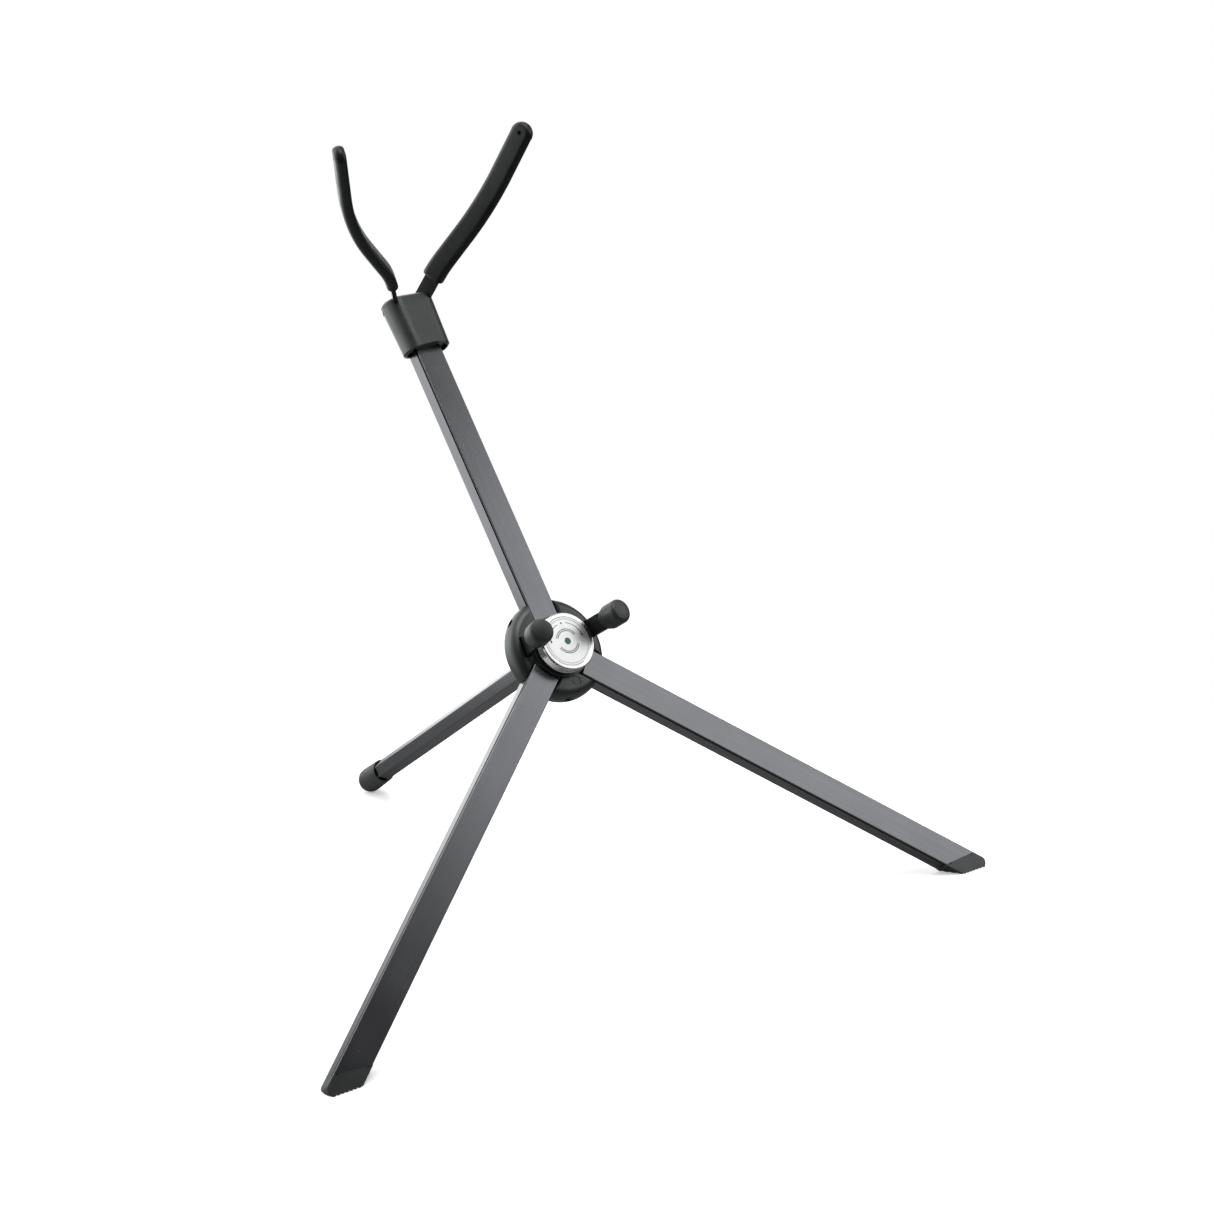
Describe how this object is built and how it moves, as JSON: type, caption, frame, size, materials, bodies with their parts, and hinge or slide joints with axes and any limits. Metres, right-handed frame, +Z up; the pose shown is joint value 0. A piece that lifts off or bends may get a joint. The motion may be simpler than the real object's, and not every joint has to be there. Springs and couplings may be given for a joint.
{
  "type": "saxophone stand",
  "caption": "Folding saxophone stand: flat-tube legs and arm hinged in a round hub, a screw knob that clamps them, covered prongs for the bell and capped pegs for the body.",
  "frame": {"origin": "on the floor, in the middle of the stand's footprint: halfway between left and right and halfway between the front edge of the feet and the back of the rear cap", "axes": "+Z up, -Y to the front where the two front legs and the pegs point, +X to the right"},
  "size_m": [0.5512, 0.3874, 0.513],
  "materials": {
    "black_plastic": "moulded, fine matte grain",
    "black_rubber": "smooth, slightly shiny",
    "black_steel": "satin black",
    "anodised_tube": "titanium-grey anodised, brushed along the tube",
    "zinc_steel": "bright",
    "knob_chrome": "satin chrome with a knurled side",
    "brass": "turned",
    "disc_white": "printed with plain rings and two turn arrows"
  },
  "bodies": {
    "hub": {"hub_body": "black_plastic", "knob_spindle": "zinc_steel", "rear_leg_tube": "anodised_tube", "rear_leg_plug": "black_plastic", "rear_leg_cap": "black_rubber", "arm_pin": "zinc_steel", "left_leg_pin": "zinc_steel", "right_leg_pin": "zinc_steel", "left_peg": "black_steel", "right_peg": "black_steel", "left_peg_cap": "black_rubber", "right_peg_cap": "black_rubber", "peg_rivets": "zinc_steel"},
    "clamp": {"clamp_plate": "black_plastic", "thrust_washer": "zinc_steel"},
    "knob": {"knob": "knob_chrome", "knob_disc": "disc_white", "knob_insert": "brass"},
    "arm": {"arm_tube": "anodised_tube", "arm_hinge_block": "black_plastic", "yoke_block": "black_plastic", "yoke_screw": "black_steel", "left_prong_pin": "zinc_steel", "right_prong_pin": "zinc_steel"},
    "left_prong": {"left_prong": "black_steel", "left_prong_sleeve": "black_rubber"},
    "right_prong": {"right_prong": "black_steel", "right_prong_sleeve": "black_rubber"},
    "left_leg": {"left_leg_tube": "anodised_tube", "left_leg_hinge_block": "black_plastic", "left_leg_foot": "black_plastic"},
    "right_leg": {"right_leg_tube": "anodised_tube", "right_leg_hinge_block": "black_plastic", "right_leg_foot": "black_plastic"}
  },
  "joints": [
    {"name": "arm_fold", "type": "hinge", "parent": "hub", "child": "arm", "pos_m": [0, -0.03338, 0.20282], "axis": [-1, 0, 0], "range_deg": [0, 86]},
    {"name": "left_leg_fold", "type": "hinge", "parent": "hub", "child": "left_leg", "pos_m": [-0.01962, -0.06021, 0.16971], "axis": [0.6561, -0.45, -0.6059], "range_deg": [0, 90]},
    {"name": "right_leg_fold", "type": "hinge", "parent": "hub", "child": "right_leg", "pos_m": [0.01962, -0.06021, 0.16971], "axis": [0.6561, 0.45, 0.6059], "range_deg": [0, 90]},
    {"name": "left_prong_fold", "type": "hinge", "parent": "arm", "child": "left_prong", "pos_m": [-0.0084, 0.12083, 0.38581], "axis": [0.8681, -0.4447, 0.2206], "range_deg": [-52, 0]},
    {"name": "right_prong_fold", "type": "hinge", "parent": "arm", "child": "right_prong", "pos_m": [0.0084, 0.12083, 0.38581], "axis": [0.8681, 0.4447, -0.2206], "range_deg": [-52, 0]},
    {"name": "clamp_lift", "type": "slide", "parent": "hub", "child": "clamp", "axis": [0, -0.8028, 0.5962], "range_m": [0, 0.0025]},
    {"name": "knob_turn", "type": "hinge", "parent": "clamp", "child": "knob", "pos_m": [0, -0.05847, 0.18966], "axis": [0, -0.8028, 0.5962], "range_deg": [0, 720]}
  ],
  "couplings": [
    {"joint": "knob_turn", "follows": "clamp_lift", "rad_per_m": 5026.5}
  ]
}
